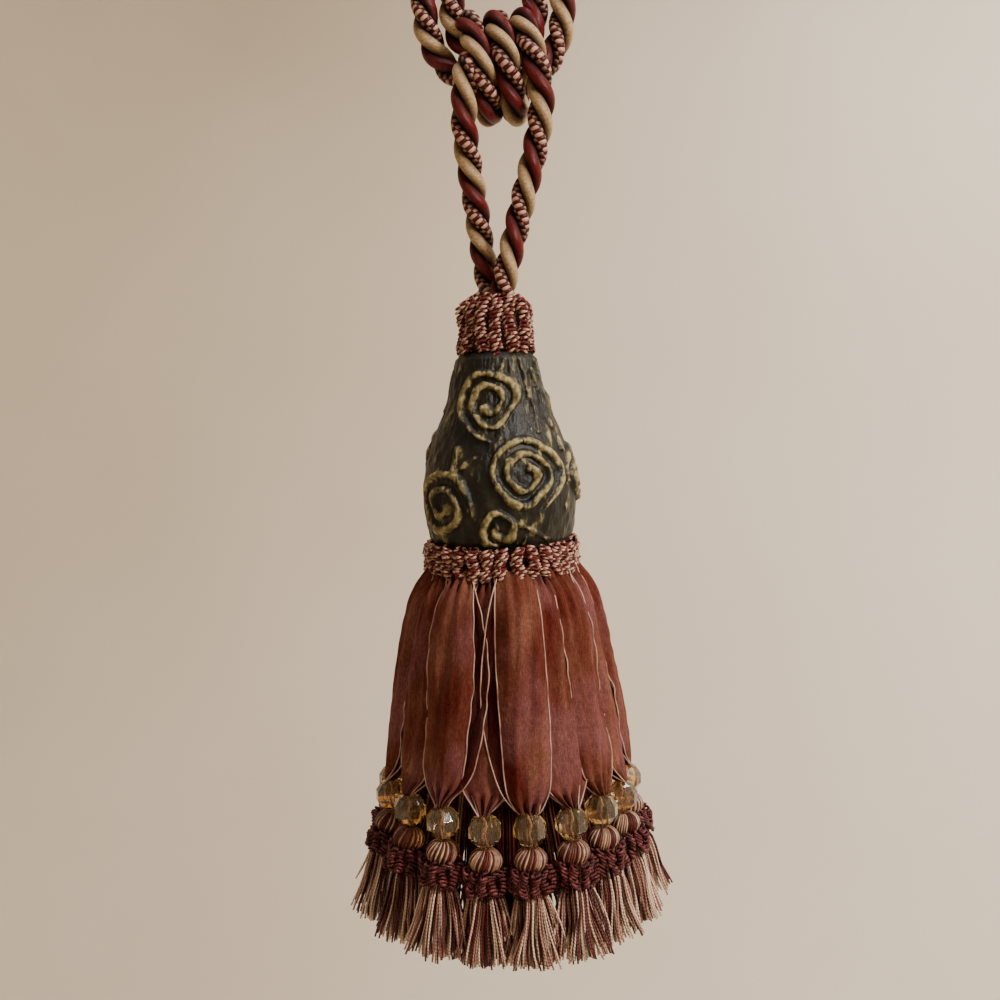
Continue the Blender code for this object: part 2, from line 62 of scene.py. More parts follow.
class Shade:
    """A number or a colour in a material's shader.

    Making one adds a node, sets or links its inputs and keeps one of its outputs.  The
    signs + - * ** and abs() add the Math nodes that work the result out.
    """

    def __init__(self, material, kind, inputs, output=0, **settings):
        self.material = material
        made = material.node_tree.nodes.new("ShaderNode" + kind)
        for key, setting in settings.items():
            setattr(made, key, setting)
        for key, given in inputs.items():
            if isinstance(given, Shade):
                material.node_tree.links.new(given.socket, made.inputs[key])
            else:
                made.inputs[key].default_value = given
        self.socket = made.outputs[output]

    def maths(self, operation, other=0.0, **settings):
        """A Math node's result from this number and another."""
        return Shade(self.material, "Math", {0: self, 1: other}, operation=operation, **settings)

    def __add__(self, other):
        return self.maths("ADD", other)

    def __sub__(self, other):
        return self.maths("SUBTRACT", other)

    def __mul__(self, other):
        return self.maths("MULTIPLY", other)

    def __pow__(self, other):
        return self.maths("POWER", other)

    def __abs__(self):
        return self.maths("ABSOLUTE")

    def sine(self):
        return self.maths("SINE")

    def noise(self, detail=2.0):
        """Smooth noise along a line, looked up at this number."""
        return Shade(self.material, "TexNoise", {"W": self, "Scale": 1.0, "Detail": detail},
                     noise_dimensions="1D")

    def dice(self):
        """A random number from 0 to 1 for each different number."""
        return Shade(self.material, "TexWhiteNoise", {"W": self}, noise_dimensions="1D")

    def ramp(self, *stops):
        """A colour ramp through (place, colour) stops."""
        shade = Shade(self.material, "ValToRGB", {0: self})
        band = shade.socket.node.color_ramp
        while len(band.elements) < len(stops):
            band.elements.new(0.5)
        for element, (place, colour) in zip(band.elements, stops):
            element.position = place
            element.color = (*colour, 1.0)
        return shade

    def blend(self, first, second):
        """Two colours mixed by this share, from 0 to 1."""
        first, second = (c if isinstance(c, Shade) else (*c, 1.0) for c in (first, second))
        return Shade(self.material, "Mix", {0: self, 6: first, 7: second}, 2, data_type="RGBA")

    def times(self, colour):
        """Two colours multiplied."""
        return Shade(self.material, "Mix", {0: 1.0, 6: self, 7: colour}, 2, data_type="RGBA",
                     blend_type="MULTIPLY")


def finish(name, **sockets):
    """A new material whose Principled sockets are set from words, such as Sheen_Weight=0.3."""
    material = bpy.data.materials.new(name)
    material.use_nodes = True
    shader = material.node_tree.nodes["Principled BSDF"]
    for words, value in sockets.items():
        shader.inputs[words.replace("_", " ")].default_value = value
    return material


def dress(colour, height=None, depth=0.3, distance=0.0005, rough=None):
    """Link a colour, a bump height and a roughness to their material's Principled shader."""
    tree = colour.material.node_tree
    bump = None if height is None else Shade(
        colour.material, "Bump", {"Strength": depth, "Distance": distance, "Height": height})
    for words, shade in (("Base Color", colour), ("Normal", bump), ("Roughness", rough)):
        if shade is not None:
            tree.links.new(shade.socket, tree.nodes["Principled BSDF"].inputs[words])


def speckle(material, scale, detail=2.0, roughness=0.5):
    """Noise through a piece: lumps to a metre, or three such numbers for lumps that are drawn out."""
    spot = Shade(material, "TexCoord", {}, "Object")
    if isinstance(scale, tuple):
        spot, scale = Shade(material, "Mapping", {"Vector": spot, "Scale": scale}), 1.0
    return Shade(material, "TexNoise", {"Vector": spot, "Scale": scale, "Detail": detail,
                                        "Roughness": roughness})


def at_angle(out, degrees, z):
    """Places at angles round the axis: 0 degrees is the front (-Y), 90 is +X."""
    turn = np.radians(degrees)
    return np.stack(np.broadcast_arrays(out * np.sin(turn), -out * np.cos(turn), z), -1)


def turned(profile, steps):
    """A profile of (reach, height) rows turned round the axis."""
    return at_angle(profile[:, :1], np.linspace(0, 360, steps, endpoint=False), profile[:, 1:])


def skin(name, points, material, around=True, ends=True, run=None, marks=None, facets=False):
    """A mesh over sheets of points: points[k, i, j] is place j across row i of sheet k, in mm.

    Each row is joined to the next, each place to the next place, and to the first one where
    the sheet goes around; ends closes the first and last rows with a pole at their middle.
    UV: u is the share of the way across, v is run[k, i] or run[i] in mm.  marks are attributes
    with one value to a sheet or to a point.  facets splits each square and leaves it flat.
    """
    points = np.asarray(points, float)
    count, rows, across = points.shape[:3]
    spans = across if around else across - 1
    row, place = (grid.ravel() for grid in np.meshgrid(np.arange(rows - 1), np.arange(spans), indexing="ij"))
    beyond = (place + 1) % across
    corners = np.stack([row * across + place, row * across + beyond,
                        (row + 1) * across + beyond, (row + 1) * across + place], 1)
    corner_u = np.stack([place, place + 1, place + 1, place], 1) / spans
    corner_row = np.stack([row, row, row + 1, row + 1], 1)
    quads = corners[None] + (np.arange(count) * rows * across)[:, None, None]
    run = np.broadcast_to(np.arange(float(rows)) if run is None else run, (count, rows))
    quad_uv = np.stack([np.broadcast_to(corner_u, quads.shape), run[:, corner_row]], -1)
    flat = points.reshape(-1, 3)
    centre = flat[quads].mean(2)
    area = np.cross(flat[quads[..., 2]] - flat[quads[..., 0]], flat[quads[..., 3]] - flat[quads[..., 1]])
    inward = (centre[..., :2] * area[..., :2]).sum() < 0
    quads, quad_uv = quads.reshape(-1, 4), quad_uv.reshape(-1, 4, 2)
    halves = [(0, 1, 2), (0, 2, 3)] if facets else [(0, 1, 2, 3)]
    shapes = [(quads[:, half], quad_uv[:, half]) for half in halves]
    if ends:
        poles = points[:, [0, -1]].mean(2)
        edge = np.arange(across)
        after = (edge + 1) % across
        base = (np.arange(count) * rows * across)[:, None]
        first_pole = (len(flat) + 2 * np.arange(count))[:, None] + 0 * edge
        last = (rows - 1) * across
        start = np.stack([first_pole, base + after, base + edge], -1)
        stop = np.stack([first_pole + 1, base + last + edge, base + last + after], -1)
        turn, one = edge / across, np.zeros((count, across, 3))
        start_uv = np.stack([np.stack([turn, turn + 1 / across, turn], -1) + one, run[:, :1, None] + one], -1)
        stop_uv = np.stack([np.stack([turn, turn, turn + 1 / across], -1) + one, run[:, -1:, None] + one], -1)
        shapes += [(start.reshape(-1, 3), start_uv.reshape(-1, 3, 2)),
                   (stop.reshape(-1, 3), stop_uv.reshape(-1, 3, 2))]
        flat = np.vstack([flat, poles.reshape(-1, 3)])
    if inward:
        shapes = [(faces[:, ::-1], uv[:, ::-1]) for faces, uv in shapes]
    sizes = np.concatenate([np.full(len(faces), faces.shape[1]) for faces, _ in shapes])
    mesh = bpy.data.meshes.new(name)
    mesh.vertices.add(len(flat))
    mesh.vertices.foreach_set("co", (flat * MM).ravel())
    mesh.loops.add(int(sizes.sum()))
    joined = np.concatenate([faces.ravel() for faces, _ in shapes])
    mesh.loops.foreach_set("vertex_index", joined.astype(np.int32))
    mesh.polygons.add(len(sizes))
    mesh.polygons.foreach_set("loop_start", (np.cumsum(sizes) - sizes).astype(np.int32))
    mesh.polygons.foreach_set("use_smooth", np.full(len(sizes), not facets))
    mesh.uv_layers.new(name="UVMap").data.foreach_set("uv", np.concatenate([uv.ravel() for _, uv in shapes]))
    mesh.update(calc_edges=True)
    for mark, values in (marks or {}).items():
        values = np.asarray(values, float)
        whole = np.broadcast_to(values.reshape(values.shape + (1,) * (3 - values.ndim)), points.shape[:3])
        per_point = whole.ravel()
        if ends:
            per_point = np.concatenate([per_point, whole[:, [0, -1]].mean(2).ravel()])
        mesh.attributes.new(mark, "FLOAT", "POINT").data.foreach_set("value", per_point)
    mesh.materials.append(material)
    piece = bpy.data.objects.new(name, mesh)
    bpy.context.collection.objects.link(piece)
    return piece


wall_finish = finish("wall paint", Roughness=0.8)
dress(speckle(wall_finish, 1.2, 3.0).ramp((0.3, (0.70, 0.605, 0.475)), (0.7, (0.76, 0.67, 0.545))))

# the sweep is a turned profile: flat floor, quarter-round cove, upright wall
FLOOR, ROOM, COVE, WALL_TOP = -1500.0, 2600.0, 1500.0, 2200.0
bend = np.linspace(0, math.pi / 2, 14)[1:]
sweep_side = np.vstack([np.stack([np.linspace(1, ROOM - COVE, 8), np.full(8, FLOOR)], 1),
                        np.stack([ROOM - COVE + COVE * np.sin(bend), FLOOR + COVE - COVE * np.cos(bend)], 1),
                        [[ROOM, WALL_TOP]]])
sweep = skin("room_sweep", turned(sweep_side, 96)[None], wall_finish, ends=False)
sweep.data.flip_normals()

# ------------------------------------------------------------
# Rope: three satin-covered strands laid together, one champagne, one burgundy and one
# woven in small checks of both.  The embrace is one rope doubled over the hook; the
# hanger's two legs rise from the collar into the knot.
# ------------------------------------------------------------
STRAND, PITCH, LAY = 4.85, 29.66, -1
# three round strands that touch have their middles at this share of a thickness from the rope's
NESTED = 0.577
ROPE_APART = 10.9
ARM_CUT, LEG_CUT = -47.6, -95.0
EMBRACE_ACROSS, HANGER_ACROSS = (0.0, 1.0, 0.0), (1.0, 0.0, 0.0)
EMBRACE_PHASE = {"inner": 60.0, "outer": 200.0}
HANGER_PHASE = 194.0

INNER_RING = [
    (4.0, 0, -66.0), (-4.0, 0, -65.5), (-10.0, 0, -61.0), (-13.1, 0, -53.0), (-13.6, 0, -45.0),
    (-15.0, 0, -28.0), (-15.4, 0, -12.0), (-10.8, 0, 0.6), (0.0, 0, 5.4), (11.4, 0, 0.6),
    (17.2, 0, -12.0), (18.6, 0, -28.0), (19.1, 0, -45.0), (18.6, 0, -55.0), (14.8, 0, -63.0),
    (8.0, 0, -66.0), (4.0, 0, -66.0),
]
HANGER = [
    (-2.0, 4.7, -162.2), (-2.1, 4.7, -157.5), (-3.2, 4.2, -149.0), (-5.0, 2.4, -136.0), (-6.6, -0.6, -122.5),
    (-8.6, -6.0, -108.0), (-9.8, -10.2, -95.0), (-9.4, -12.6, -84.0), (-8.2, -11.0, -73.5),
    (-6.0, -2.0, -70.5), (-5.5, 8.0, -69.0), (-6.5, 11.0, -61.5), (-7.2, 3.0, -54.8),
    (-6.8, -6.5, -57.0), (-3.3, -13.0, -71.5), (-0.6, -7.0, -86.0), (0.4, 2.0, -88.2),
    (1.4, 10.6, -80.0), (2.4, 11.0, -64.0), (3.4, 3.0, -54.4), (4.2, -6.5, -57.0),
    (7.2, -12.4, -71.5), (9.8, -7.0, -86.0), (10.6, 2.0, -88.2), (11.6, 10.6, -80.0),
    (12.6, 11.0, -64.0), (13.6, 3.0, -54.4), (14.4, -6.5, -57.0), (18.2, -12.0, -71.5),
    (20.4, -10.4, -85.0), (19.6, -8.8, -95.0), (16.4, -7.2, -109.0), (12.0, -5.8, -125.0),
    (8.0, -5.2, -140.0), (4.6, -4.8, -153.0), (3.6, -4.7, -157.5), (3.5, -4.7, -162.2),
]


def across_and_along(material):
    """A skin's UV: the share of the way across it, and the distance along it in mm."""
    uv = Shade(material, "UVMap", {})
    return [Shade(material, "SeparateXYZ", {0: uv}, axis) for axis in (0, 1)]


def mark_of(material, name):
    """An attribute that skin wrote; times a large number it gives every sheet its own noise."""
    return Shade(material, "Attribute", {}, "Fac", attribute_name=name)


def noise_over(x, y, z, detail):
    """Noise looked up at the point that three shader numbers give."""
    point = Shade(x.material, "CombineXYZ", {0: x, 1: y, 2: z})
    return Shade(x.material, "TexNoise", {"Vector": point, "Scale": 1.0, "Detail": detail})


def arc_lengths(route):
    """Distance along each of a route's points from its first one."""
    return np.concatenate([[0], np.cumsum(np.linalg.norm(np.diff(route, axis=0), axis=1))])


def smooth_route(points, step):
    """Even places along the Catmull-Rom curve through given points."""
    knots = np.array(points, float)
    ends = np.vstack([2 * knots[0] - knots[1], knots, 2 * knots[-1] - knots[-2]])
    a, b, c, d = (ends[i:len(ends) - 3 + i, None] for i in range(4))
    t = np.linspace(0, 1, 24, endpoint=False)[None, :, None]
    curve = 0.5 * (2 * b + (c - a) * t + (2 * a - 5 * b + 4 * c - d) * t ** 2
                   + (3 * b - 3 * c + d - a) * t ** 3)
    dense = np.vstack([curve.reshape(-1, knots.shape[1]), knots[-1:]])
    run = arc_lengths(dense)
    even = np.linspace(0, run[-1], max(2, round(run[-1] / step) + 1))
    return np.stack([np.interp(even, run, dense[:, k]) for k in range(knots.shape[1])], axis=1)


def fine_route(points):
    """A route at about every millimetre, its directions of length 1 and the distance between places."""
    fine = smooth_route(points, 1.0)
    along = np.gradient(fine, axis=0)
    along /= np.linalg.norm(along, axis=1)[:, None]
    return fine, along, arc_lengths(fine)[-1] / (len(fine) - 1)


def beside(points, apart):
    """The same ring moved outward in its own plane by the distance of two ropes."""
    fine, along, _ = fine_route(points)
    return fine + apart * np.stack([-along[:, 2], 0 * along[:, 0], along[:, 0]], axis=1)


def crossings(points, z):
    """Distances along a route at which it passes a height, first to last."""
    fine, _, step = fine_route(points)
    passed = np.nonzero(np.diff(np.sign(fine[:, 2] - z)))[0]
    return step * (passed + (z - fine[passed, 2]) / (fine[passed + 1, 2] - fine[passed, 2]))


def tubes(paths, facing, radius, sides):
    """Rings of places round paths[k, i], square to each path, counted from its facing side."""
    along = np.gradient(paths, axis=1)
    along /= np.linalg.norm(along, axis=2, keepdims=True)
    first = facing - along * (facing * along).sum(2, keepdims=True)
    first /= np.linalg.norm(first, axis=2, keepdims=True)
    second = np.cross(along, first)
    turn = np.linspace(0, FULL, sides, endpoint=False)
    ring = np.cos(turn)[:, None] * first[:, :, None] + np.sin(turn)[:, None] * second[:, :, None]
    return paths[:, :, None] + radius * ring


def laid_strands(points, across, phase, start=0.0, end=None):
    """Three strands laid round a route between two distances along it.

    A strand's middle turns round the route once in every pitch.  Returns the tubes, the
    runs along the strands and the route itself.
    """
    fine, along, step = fine_route(points)
    side = np.array(across) - along * (along @ np.array(across))[:, None]
    side /= np.linalg.norm(side, axis=1)[:, None]
    end = step * (len(fine) - 1) if end is None else end
    places = np.linspace(start, end, max(2, round((end - start) / 1.1) + 1))
    # a ring close to each end keeps the cut square
    places = np.concatenate([places[:1], places[:1] + 0.04, places[1:-1], places[-1:] - 0.04, places[-1:]])
    known = step * np.arange(len(fine))
    route, side, up = (np.stack([np.interp(places, known, part[:, k]) for k in range(3)], 1)
                       for part in (fine, side, np.cross(along, side)))
    turns = (LAY * FULL * places / PITCH + math.radians(phase))[None] + np.radians([0, 120, 240])[:, None]
    outward = np.cos(turns)[..., None] * side + np.sin(turns)[..., None] * up
    middle = route + NESTED * STRAND * outward
    stretch = math.hypot(1, FULL * NESTED * STRAND / PITCH)
    return tubes(middle, outward, 0.515 * STRAND, 16), places * stretch, route


CHAMPAGNE_DEEP, CHAMPAGNE, CHAMPAGNE_PALE = (0.190, 0.116, 0.056), (0.305, 0.198, 0.104), (0.42, 0.31, 0.185)
BURGUNDY_DEEP, BURGUNDY = (0.034, 0.0009, 0.0011), (0.118, 0.0036, 0.0042)
ROSE, PLUM = (0.37, 0.208, 0.146), (0.044, 0.0016, 0.0018)
# painted highlight and painted shade: a strand's colour is lightened on its outermost line and darkened from
# there in to where it touches its neighbours
PAINTED_HIGHLIGHT_AND_SHADE = [(0.0, (1.35, 1.35, 1.35)), (0.09, (1.0, 1.0, 1.0)), (0.19, (0.46, 0.40, 0.38)),
         (0.28, (0.06, 0.04, 0.04))]
# woven checks: four round the strand, one of them facing out, and one every CHECK_LONG mm along it
CHECKS_ROUND, CHECK_LONG = 4, 1.25

strand_finish = finish("laid strands", Roughness=0.38, Specular_IOR_Level=0.22, Anisotropic=0.5)
u, v = across_and_along(strand_finish)
kind = mark_of(strand_finish, "strand")
is_burgundy, is_checked = (kind.maths("GREATER_THAN", limit) for limit in (0.5, 1.5))
# the satin's fine threads wind slowly round the strand and are mottled by its weave
slant = u + v * 0.012
streak = noise_over(slant * 24.0, v * 1.1, kind, 3.0)
threads = (slant * (FULL * 26)).sine()
champagne = streak.ramp((0.30, CHAMPAGNE_DEEP), (0.52, CHAMPAGNE), (0.74, CHAMPAGNE_PALE))
burgundy = streak.ramp((0.3, BURGUNDY_DEEP), (0.7, BURGUNDY))
long_wave = (v * (math.pi / CHECK_LONG)).sine()
weave = (u * (math.pi * CHECKS_ROUND)).maths("COSINE") * long_wave + (streak - 0.5) * 0.5
check = Shade(strand_finish, "MapRange", {0: weave, 1: 0.0, 2: 0.11}, interpolation_type="SMOOTHSTEP")
satin = is_checked.blend(is_burgundy.blend(champagne, burgundy), check.blend(PLUM, ROSE))
relief = Shade(strand_finish, "Mix", {0: is_checked, 2: threads * 0.10, 3: abs(long_wave) ** 0.6})
# u is 0 on the outside of the rope: the satin has painted shade and is duller where the strands press
# together, and a painted highlight on its outermost line
from_outside = abs((u + 0.5).maths("FRACT") - 0.5)
matt = Shade(strand_finish, "MapRange", {0: from_outside, 1: 0.10, 2: 0.22, 3: 0.36, 4: 0.95})
dress(satin.times(from_outside.ramp(*PAINTED_HIGHLIGHT_AND_SHADE)), relief, 0.8, rough=matt)

STRAND_KINDS = {"strand": [0.0, 2.0, 1.0]}
ropes, knot_spans = [], []
for name, points in {"inner": INNER_RING, "outer": beside(INNER_RING, ROPE_APART)}.items():
    left, right = crossings(points, ARM_CUT)
    laid = points, EMBRACE_ACROSS, EMBRACE_PHASE[name]
    grid, run, route = laid_strands(*laid, left, right)
    rope = skin("embrace_" + name, grid, strand_finish, run=run, marks=STRAND_KINDS)
    ropes.append((rope, "embrace_rope_" + name, route))
    knot_spans += [(*laid, 0.0, left), (*laid, right, None)]
laid = HANGER, HANGER_ACROSS, HANGER_PHASE
below = crossings(HANGER, LEG_CUT)
for name, span in (("left", (0.0, below[0])), ("right", (below[-1], None))):
    grid, run, route = laid_strands(*laid, *span)
    rope = skin("hanger_leg_" + name, grid, strand_finish, run=run, marks=STRAND_KINDS)
    ropes.append((rope, "rope_leg_" + name, route if name == "left" else route[::-1]))
knot_spans.append((*laid, below[0], below[-1]))

# ------------------------------------------------------------
# Knot: the hanger rope taken three times round the bight of the embrace; the turns lie
# tight against each other and hide the two ropes that they hold.
# ------------------------------------------------------------
knot_parts = []
for number, span in enumerate(knot_spans):
    grid, run, _ = laid_strands(*span)
    knot_parts.append(skin("knot_%d" % number, grid, strand_finish, run=run, marks=STRAND_KINDS))
knot = knot_parts[-1]
with bpy.context.temp_override(active_object=knot, selected_editable_objects=knot_parts):
    bpy.ops.object.join()
knot.name = "knot_turns"
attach(knot, "root")
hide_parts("knot")
for rope, cad_name, route in ropes:
    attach(rope, "root")
    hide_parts(cad_name)
    tuple(route[0] * MM)
    [tuple(p) for p in route[::4] * MM] + [tuple(route[-1] * MM)]
    [knot] if cad_name == "rope_leg_left" else []

# ------------------------------------------------------------
# Gimp collar and band: a cord wound into upright coils side by side, glued round the
# neck and round the foot of the head.  The cord is burgundy, rose and champagne mixed.
# ------------------------------------------------------------
COLLAR_TOP, COLLAR_BOTTOM = -160.6, -182.5
BAND_TOP, BAND_BOTTOM = -259.2, -272.0
TWIST_LONG = 3.4
# four plies twist round the cord once in TWIST_LONG mm: burgundy, rose, champagne, burgundy
PLIES = [(0.00, (0.060, 0.003, 0.003)), (0.22, (0.15, 0.013, 0.012)), (0.29, (0.40, 0.170, 0.130)),
         (0.48, (0.50, 0.27, 0.205)), (0.55, (0.56, 0.39, 0.26)), (0.74, (0.70, 0.53, 0.38)),
         (0.81, (0.14, 0.013, 0.010)), (1.00, (0.060, 0.003, 0.003))]
rng = np.random.default_rng(7)

gimp_finish = finish("gimp cord", Roughness=0.5, Specular_IOR_Level=0.22)
u, v = across_and_along(gimp_finish)
patch = (v * 0.20 + mark_of(gimp_finish, "tone") * 91.0).noise()
twist = u + v * (1 / TWIST_LONG)
plied = (twist + patch * 0.8).maths("FRACT").ramp(*PLIES)
groove = abs((twist * (2 * FULL)).sine())
soiled = patch.maths("GREATER_THAN", 0.58).blend(plied, (0.11, 0.007, 0.005))
# painted shade: the cord's colour goes to near black in the grooves between its plies
dress((groove ** 0.5).blend((0.014, 0.002, 0.002), soiled), groove, 0.6, 0.0003)


def coil_ring(columns, turns, top, bottom, ring, coil, cord, tiers, tilt=0.5, uneven=0.3, sides=5, fine=13):
    """Upright coils of cord side by side round the axis.

    A coil's middle goes straight down while its cord turns round it; the coils swell in
    each tier and draw in between tiers, and each wrap is tilted a little.  Sizes in mm.
    """
    share = np.linspace(0, 1, int(turns * fine))[None, :]
    number = np.arange(columns)[:, None]
    between = FULL / columns
    spin = FULL * turns * share + rng.uniform(0, 6.3, (columns, 1))
    spin = spin + 0.35 * np.sin(0.37 * spin + number)
    swell = 0.68 + 0.32 * np.abs(np.sin(math.pi * tiers * share)) ** 0.7
    swell = swell + 0.08 * np.sin(1.7 * spin + 3 * number)
    middle = ring(share) + uneven * np.sin(2.9 * number + 4.4 * share)
    turn = between * (number + rng.uniform(-0.11, 0.11, (columns, 1)) + 0.11 * np.sin(7 * share + 2 * number))
    out = middle + coil * swell * np.cos(spin) * 0.95
    aside = coil * swell * np.sin(spin)
    ragged = uneven * np.sin(2.7 * number) * (2 * share - 1)
    z = top + (bottom - top) * share + ragged
    z = z + tilt * np.sin(spin + number) + 0.2 * np.sin(0.8 * spin + 5 * number)
    radial = np.stack([np.sin(turn), -np.cos(turn), 0 * turn], -1)
    tangent = np.stack([np.cos(turn), np.sin(turn), 0 * turn], -1)
    path = radial * out[..., None] + tangent * aside[..., None] + np.stack([0 * z, 0 * z, z], -1)
    facing = radial * np.cos(spin)[..., None] + tangent * np.sin(spin)[..., None]
    run = np.cumsum(np.linalg.norm(np.diff(path, axis=1, prepend=path[:, :1]), axis=2), axis=1)
    return tubes(path, facing, cord, sides), run


def collar_ring(share):
    """The collar's coils lean in to the ropes at its top and spread a little at its foot."""
    return 12.7 - 5.2 * np.clip((0.20 - share) / 0.20, 0, 1) ** 1.6 + 1.1 * share ** 3


def band_ring(share):
    """The band's coils stand out most at half their height."""
    return 29.3 + 0.5 * np.sin(math.pi * share)


grid, run = coil_ring(14, 14.5, COLLAR_TOP + 0.3, COLLAR_BOTTOM - 1.2, collar_ring, 2.45, 0.66, 2,
                      tilt=1.0, uneven=0.6, fine=11)
collar = skin("gimp_collar", grid, gimp_finish, run=run, marks={"tone": rng.random(len(grid))})
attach(collar, "root")
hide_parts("collar")


def backing(name, dark, light):
    """A dull woven finish for what lies behind the trimmings."""
    material = finish(name, Roughness=0.8)
    weave = speckle(material, 900.0)
    dress(weave.ramp((0.3, dark), (0.7, light)), weave, 0.4)
    return material


# the coils are sewn side by side to a woven backing that lies behind them
share = np.linspace(0.04, 0.98, 12)
tape_side = np.stack([collar_ring(share) - 0.9, COLLAR_TOP + (COLLAR_BOTTOM - COLLAR_TOP) * share], 1)
tape = skin("collar_backing", turned(tape_side, 48)[None],
            backing("woven backing", (0.020, 0.003, 0.003), (0.045, 0.009, 0.007)))
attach(tape, "root")

grid, run = coil_ring(32, 10.5, BAND_TOP - 0.1, BAND_BOTTOM + 0.2, band_ring, 2.50, 0.62, 2,
                      tilt=0.9, fine=11)
band = skin("gimp_band", grid, gimp_finish, run=run, marks={"tone": rng.random(len(grid))})
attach(band, "root")
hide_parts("band")

# ------------------------------------------------------------
# Head: a turned pear with scrolls and smears of paste laid on by hand, painted nearly
# black, with old gold rubbed over whatever stands up.
# ------------------------------------------------------------
HEAD_SIDE = [
    (15.9, -183.0), (17.8, -192.0), (20.7, -203.5), (24.3, -212.5), (28.3, -222.6),
    (30.4, -231.0), (31.3, -239.0), (31.1, -247.0), (29.8, -254.6), (28.6, -258.8),
]
HEAD_SHOULDER = [(11.0, -182.6), (13.6, -182.8), (14.7, -183.3), (15.3, -184.4)]
HEAD_FOOT = [(27.6, -259.3), (27.6, -266.0), (27.4, -272.0)]
# a scroll: angle round the head, height, size, turns, angle at which it starts, and which hand
SCROLLS = [
    (-8, -202.6, 14.4, 2.2, 200, 1), (20, -231.0, 16.4, 2.4, 80, -1), (-46, -242.5, 14.2, 2.1, 20, -1),
    (0, -251.5, 9.4, 1.6, 130, 1), (86, -233.0, 12.6, 2.1, 150, 1), (128, -205.0, 10.0, 1.7, 300, -1),
    (160, -240.0, 14.6, 2.3, 40, 1), (-118, -222.0, 13.6, 2.2, 240, -1),
]
SCROLL_HIGH, SCROLL_WIDE = 1.8, 3.7
# a straight smear of paste: angle and height at its start and its end, how wide and how high
SMEARS = [
    (34, -186, 40, -214, 2.2, 1.0), (52, -190, 62, -222, 2.0, 1.2), (70, -186, 66, -205, 1.8, 0.9),
    (-34, -220, -38, -231, 2.4, 1.1), (-38, -231, -18, -224, 2.2, 1.1), (14, -250, 40, -257, 2.2, 1.0),
    (-100, -190, -96, -206, 2.0, 1.0), (-150, -232, -136, -250, 2.2, 1.0), (120, -236, 124, -256, 2.4, 1.0),
    (178, -190, 172, -212, 2.0, 1.0),
]
SMEAR_REACH = 27.0
ROUND_STEPS = 360
side = np.vstack([HEAD_SHOULDER, smooth_route(HEAD_SIDE, 0.42)[6:-3], HEAD_FOOT])
degrees = np.linspace(-180, 180, ROUND_STEPS, endpoint=False)[None, :]
radius, height = side[:, :1], side[:, 1:]


def arc_apart(centre):
    """Signed distance round the head from an angle, in mm, the short way."""
    return np.radians((degrees - centre + 180) % 360 - 180) * radius


def ripples(seed, waves_round, waves_down, count=14):
    """Uneven relief: a sum of sine waves round and down the head with random turns and starts."""
    draw = np.random.default_rng(seed)
    total = 0.0
    for _ in range(count):
        per_turn = round(draw.uniform(-1, 1) * waves_round)
        per_mm = draw.uniform(-1, 1) * waves_down
        total = total + np.sin(np.radians(degrees) * per_turn + per_mm * height + draw.uniform(0, 6.3))
    return total / math.sqrt(count / 2)


raised = np.zeros((len(side), ROUND_STEPS))
wander, chunky = ripples(3, 8, 0.28), ripples(4, 40, 1.3)
for number, (angle, up_at, size, turns, start, hand) in enumerate(SCROLLS):
    across, up = arc_apart(angle), height - up_at
    reach, turn = np.hypot(across, up), np.arctan2(up, across)
    bent = 1 + 0.04 * np.sin(3 * turn + number) + 0.05 * np.sin(4 * turn + 2 * number)
    reach = reach / bent + 0.45 * wander
    passed = (hand * (turn - math.radians(start)) / FULL) % 1.0
    # the scroll's line goes out with the share of its length; a lap is one turn of it
    for lap in range(3):
        share = (passed + lap) / turns
        line = size * (0.15 + 0.85 * share)
        half = 0.5 * SCROLL_WIDE * (0.92 + 0.16 * np.sin(9 * share * turns + number) + 0.05 * chunky)
        half = half * np.clip((1.02 - share) * 9, 0.0, 1.0) * np.where(share < 0.10, 1.25, 1.0)
        off = np.abs(reach - line) / np.maximum(half, 0.01)
        ridge = SCROLL_HIGH * np.clip(1 - off ** 2, 0, 1) ** 0.6 * (share <= 1.0) * (1 + 0.06 * chunky)
        raised = np.maximum(raised, ridge)
for angle, up_at, to_angle, to_up, wide, high in SMEARS:
    across, up = arc_apart(angle), height - up_at
    end_across, end_up = math.radians(to_angle - angle) * SMEAR_REACH, to_up - up_at
    share = np.clip((across * end_across + up * end_up) / (end_across ** 2 + end_up ** 2), 0, 1)
    off = np.hypot(across - share * end_across + 0.5 * wander, up - share * end_up)
    half = 0.5 * wide * (1 + 0.3 * np.sin(11 * share + angle) + 0.2 * chunky)
    raised = np.maximum(raised, high * np.sqrt(np.clip(1 - (off / half) ** 2, 0, 1)))
# nothing stands up where the collar and the band lie against the head
bare = np.clip((-183.6 - height) / 1.5, 0, 1) * np.clip((height - BAND_TOP - 0.6) / 1.0, 0, 1)
raised *= bare
brushed = (0.075 * ripples(5, 110, 0.45, 30) + 0.15 * ripples(6, 30, 0.8)) * bare

paint = finish("painted head", Roughness=0.40, Specular_IOR_Level=0.24)
strokes = speckle(paint, (1000, 1000, 330), 5.0, 0.62)
cloud = speckle(paint, 120.0, 4.0, 0.6)
crumbs = speckle(paint, 420.0, 5.0)
black = cloud.ramp((0.30, (0.0030, 0.0026, 0.0015)), (0.52, (0.0085, 0.0070, 0.0036)),
                   (0.70, (0.024, 0.019, 0.009)))
gold = crumbs.ramp((0.34, (0.070, 0.052, 0.018)), (0.50, (0.18, 0.140, 0.055)), (0.66, (0.34, 0.275, 0.130)))
rub = mark_of(paint, "raised") - 0.70
scuff = (strokes + mark_of(paint, "brushed") * 0.70 - 0.56) * 4.2
worn = (rub + (cloud - 0.44) * 3.2).maths("ADD", scuff, use_clamp=True)
dress(worn.blend(black, gold), strokes * 0.8 + crumbs, 0.7, 0.0006)
head = skin("carved_head", at_angle(radius + raised + brushed, degrees, height)[None], paint,
            marks={"raised": raised[None], "brushed": brushed[None]})
